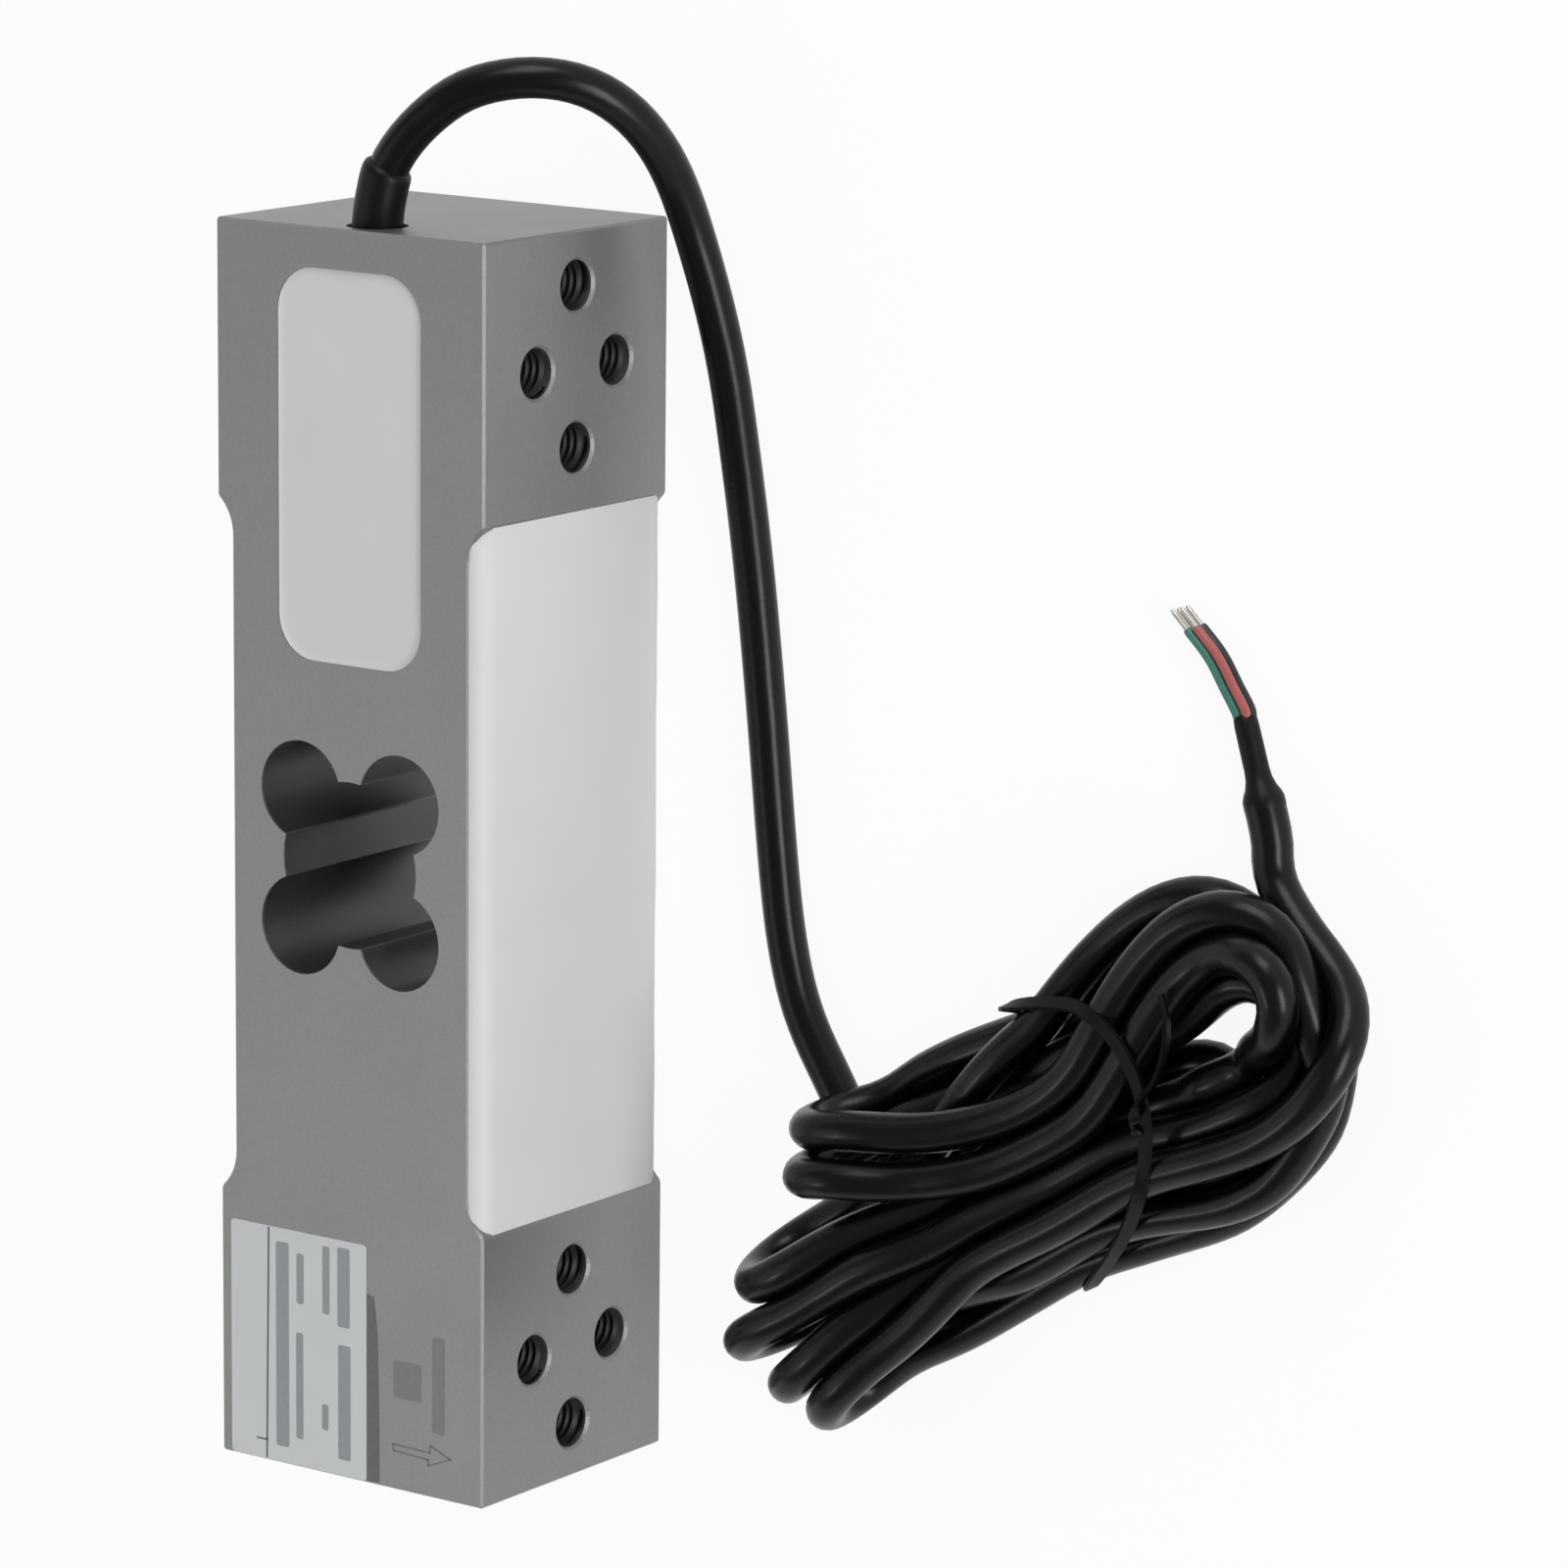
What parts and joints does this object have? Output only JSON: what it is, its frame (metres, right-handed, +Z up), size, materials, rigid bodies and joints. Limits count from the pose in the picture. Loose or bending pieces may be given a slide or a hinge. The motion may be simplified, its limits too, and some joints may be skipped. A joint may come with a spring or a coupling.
{
  "type": "single point load cell",
  "caption": "Aluminium bar load cell with a binocular cut-out, tapped end blocks, sealed gauges and a wound signal cable with a stripped end",
  "frame": {"origin": "Centre of the side face that the cell lies on, measured without its free cable", "axes": "+X along the bar towards its cable end, +Y across the two loading faces, +Z up through the side face with the cut-out and the wiring pocket"},
  "size_m": [0.1702, 0.1398, 0.0355],
  "materials": {
    "body_aluminium": "fine milled and clear anodised",
    "seal_silicone": "smooth cured silicone",
    "gauge_film": "amber polyimide film",
    "board": "green solder mask",
    "resistor": "moulded black",
    "wire_enamel": "amber enamel",
    "label_film": "silvered polyester film",
    "cable_jacket": "glossy black extruded jacket",
    "shrink_sleeve": "black heat-shrink tube",
    "tie": "black coated tie",
    "core_red": "red insulation",
    "core_black": "black insulation",
    "core_green": "green insulation",
    "core_white": "white insulation",
    "tinned_copper": "tinned copper strands"
  },
  "bodies": {
    "root": {"spring_element": "body_aluminium", "gauge_seal_front": "seal_silicone", "gauge_seal_rear": "seal_silicone", "pocket_seal": "seal_silicone", "strain_gauge_front_cable_end": "gauge_film", "strain_gauge_front_free_end": "gauge_film", "strain_gauge_rear_cable_end": "gauge_film", "strain_gauge_rear_free_end": "gauge_film", "terminal_board": "board", "zero_trim_resistor": "resistor", "span_trim_resistor": "resistor", "zero_drift_resistor": "resistor", "gauge_wire_front": "wire_enamel", "gauge_wire_rear": "wire_enamel", "inner_core_red": "core_red", "inner_core_black": "core_black", "inner_core_green": "core_green", "inner_core_white": "core_white", "rating_label": "label_film", "cable_sleeve": "shrink_sleeve", "cable_lead": "cable_jacket", "cable_hank": "cable_jacket", "cable_tie": "tie", "cable_tail": "cable_jacket", "end_sleeve": "shrink_sleeve", "core_red": "core_red", "core_black": "core_black", "core_green": "core_green", "core_white": "core_white", "conductor_red": "tinned_copper", "conductor_black": "tinned_copper", "conductor_green": "tinned_copper", "conductor_white": "tinned_copper"}
  },
  "joints": []
}
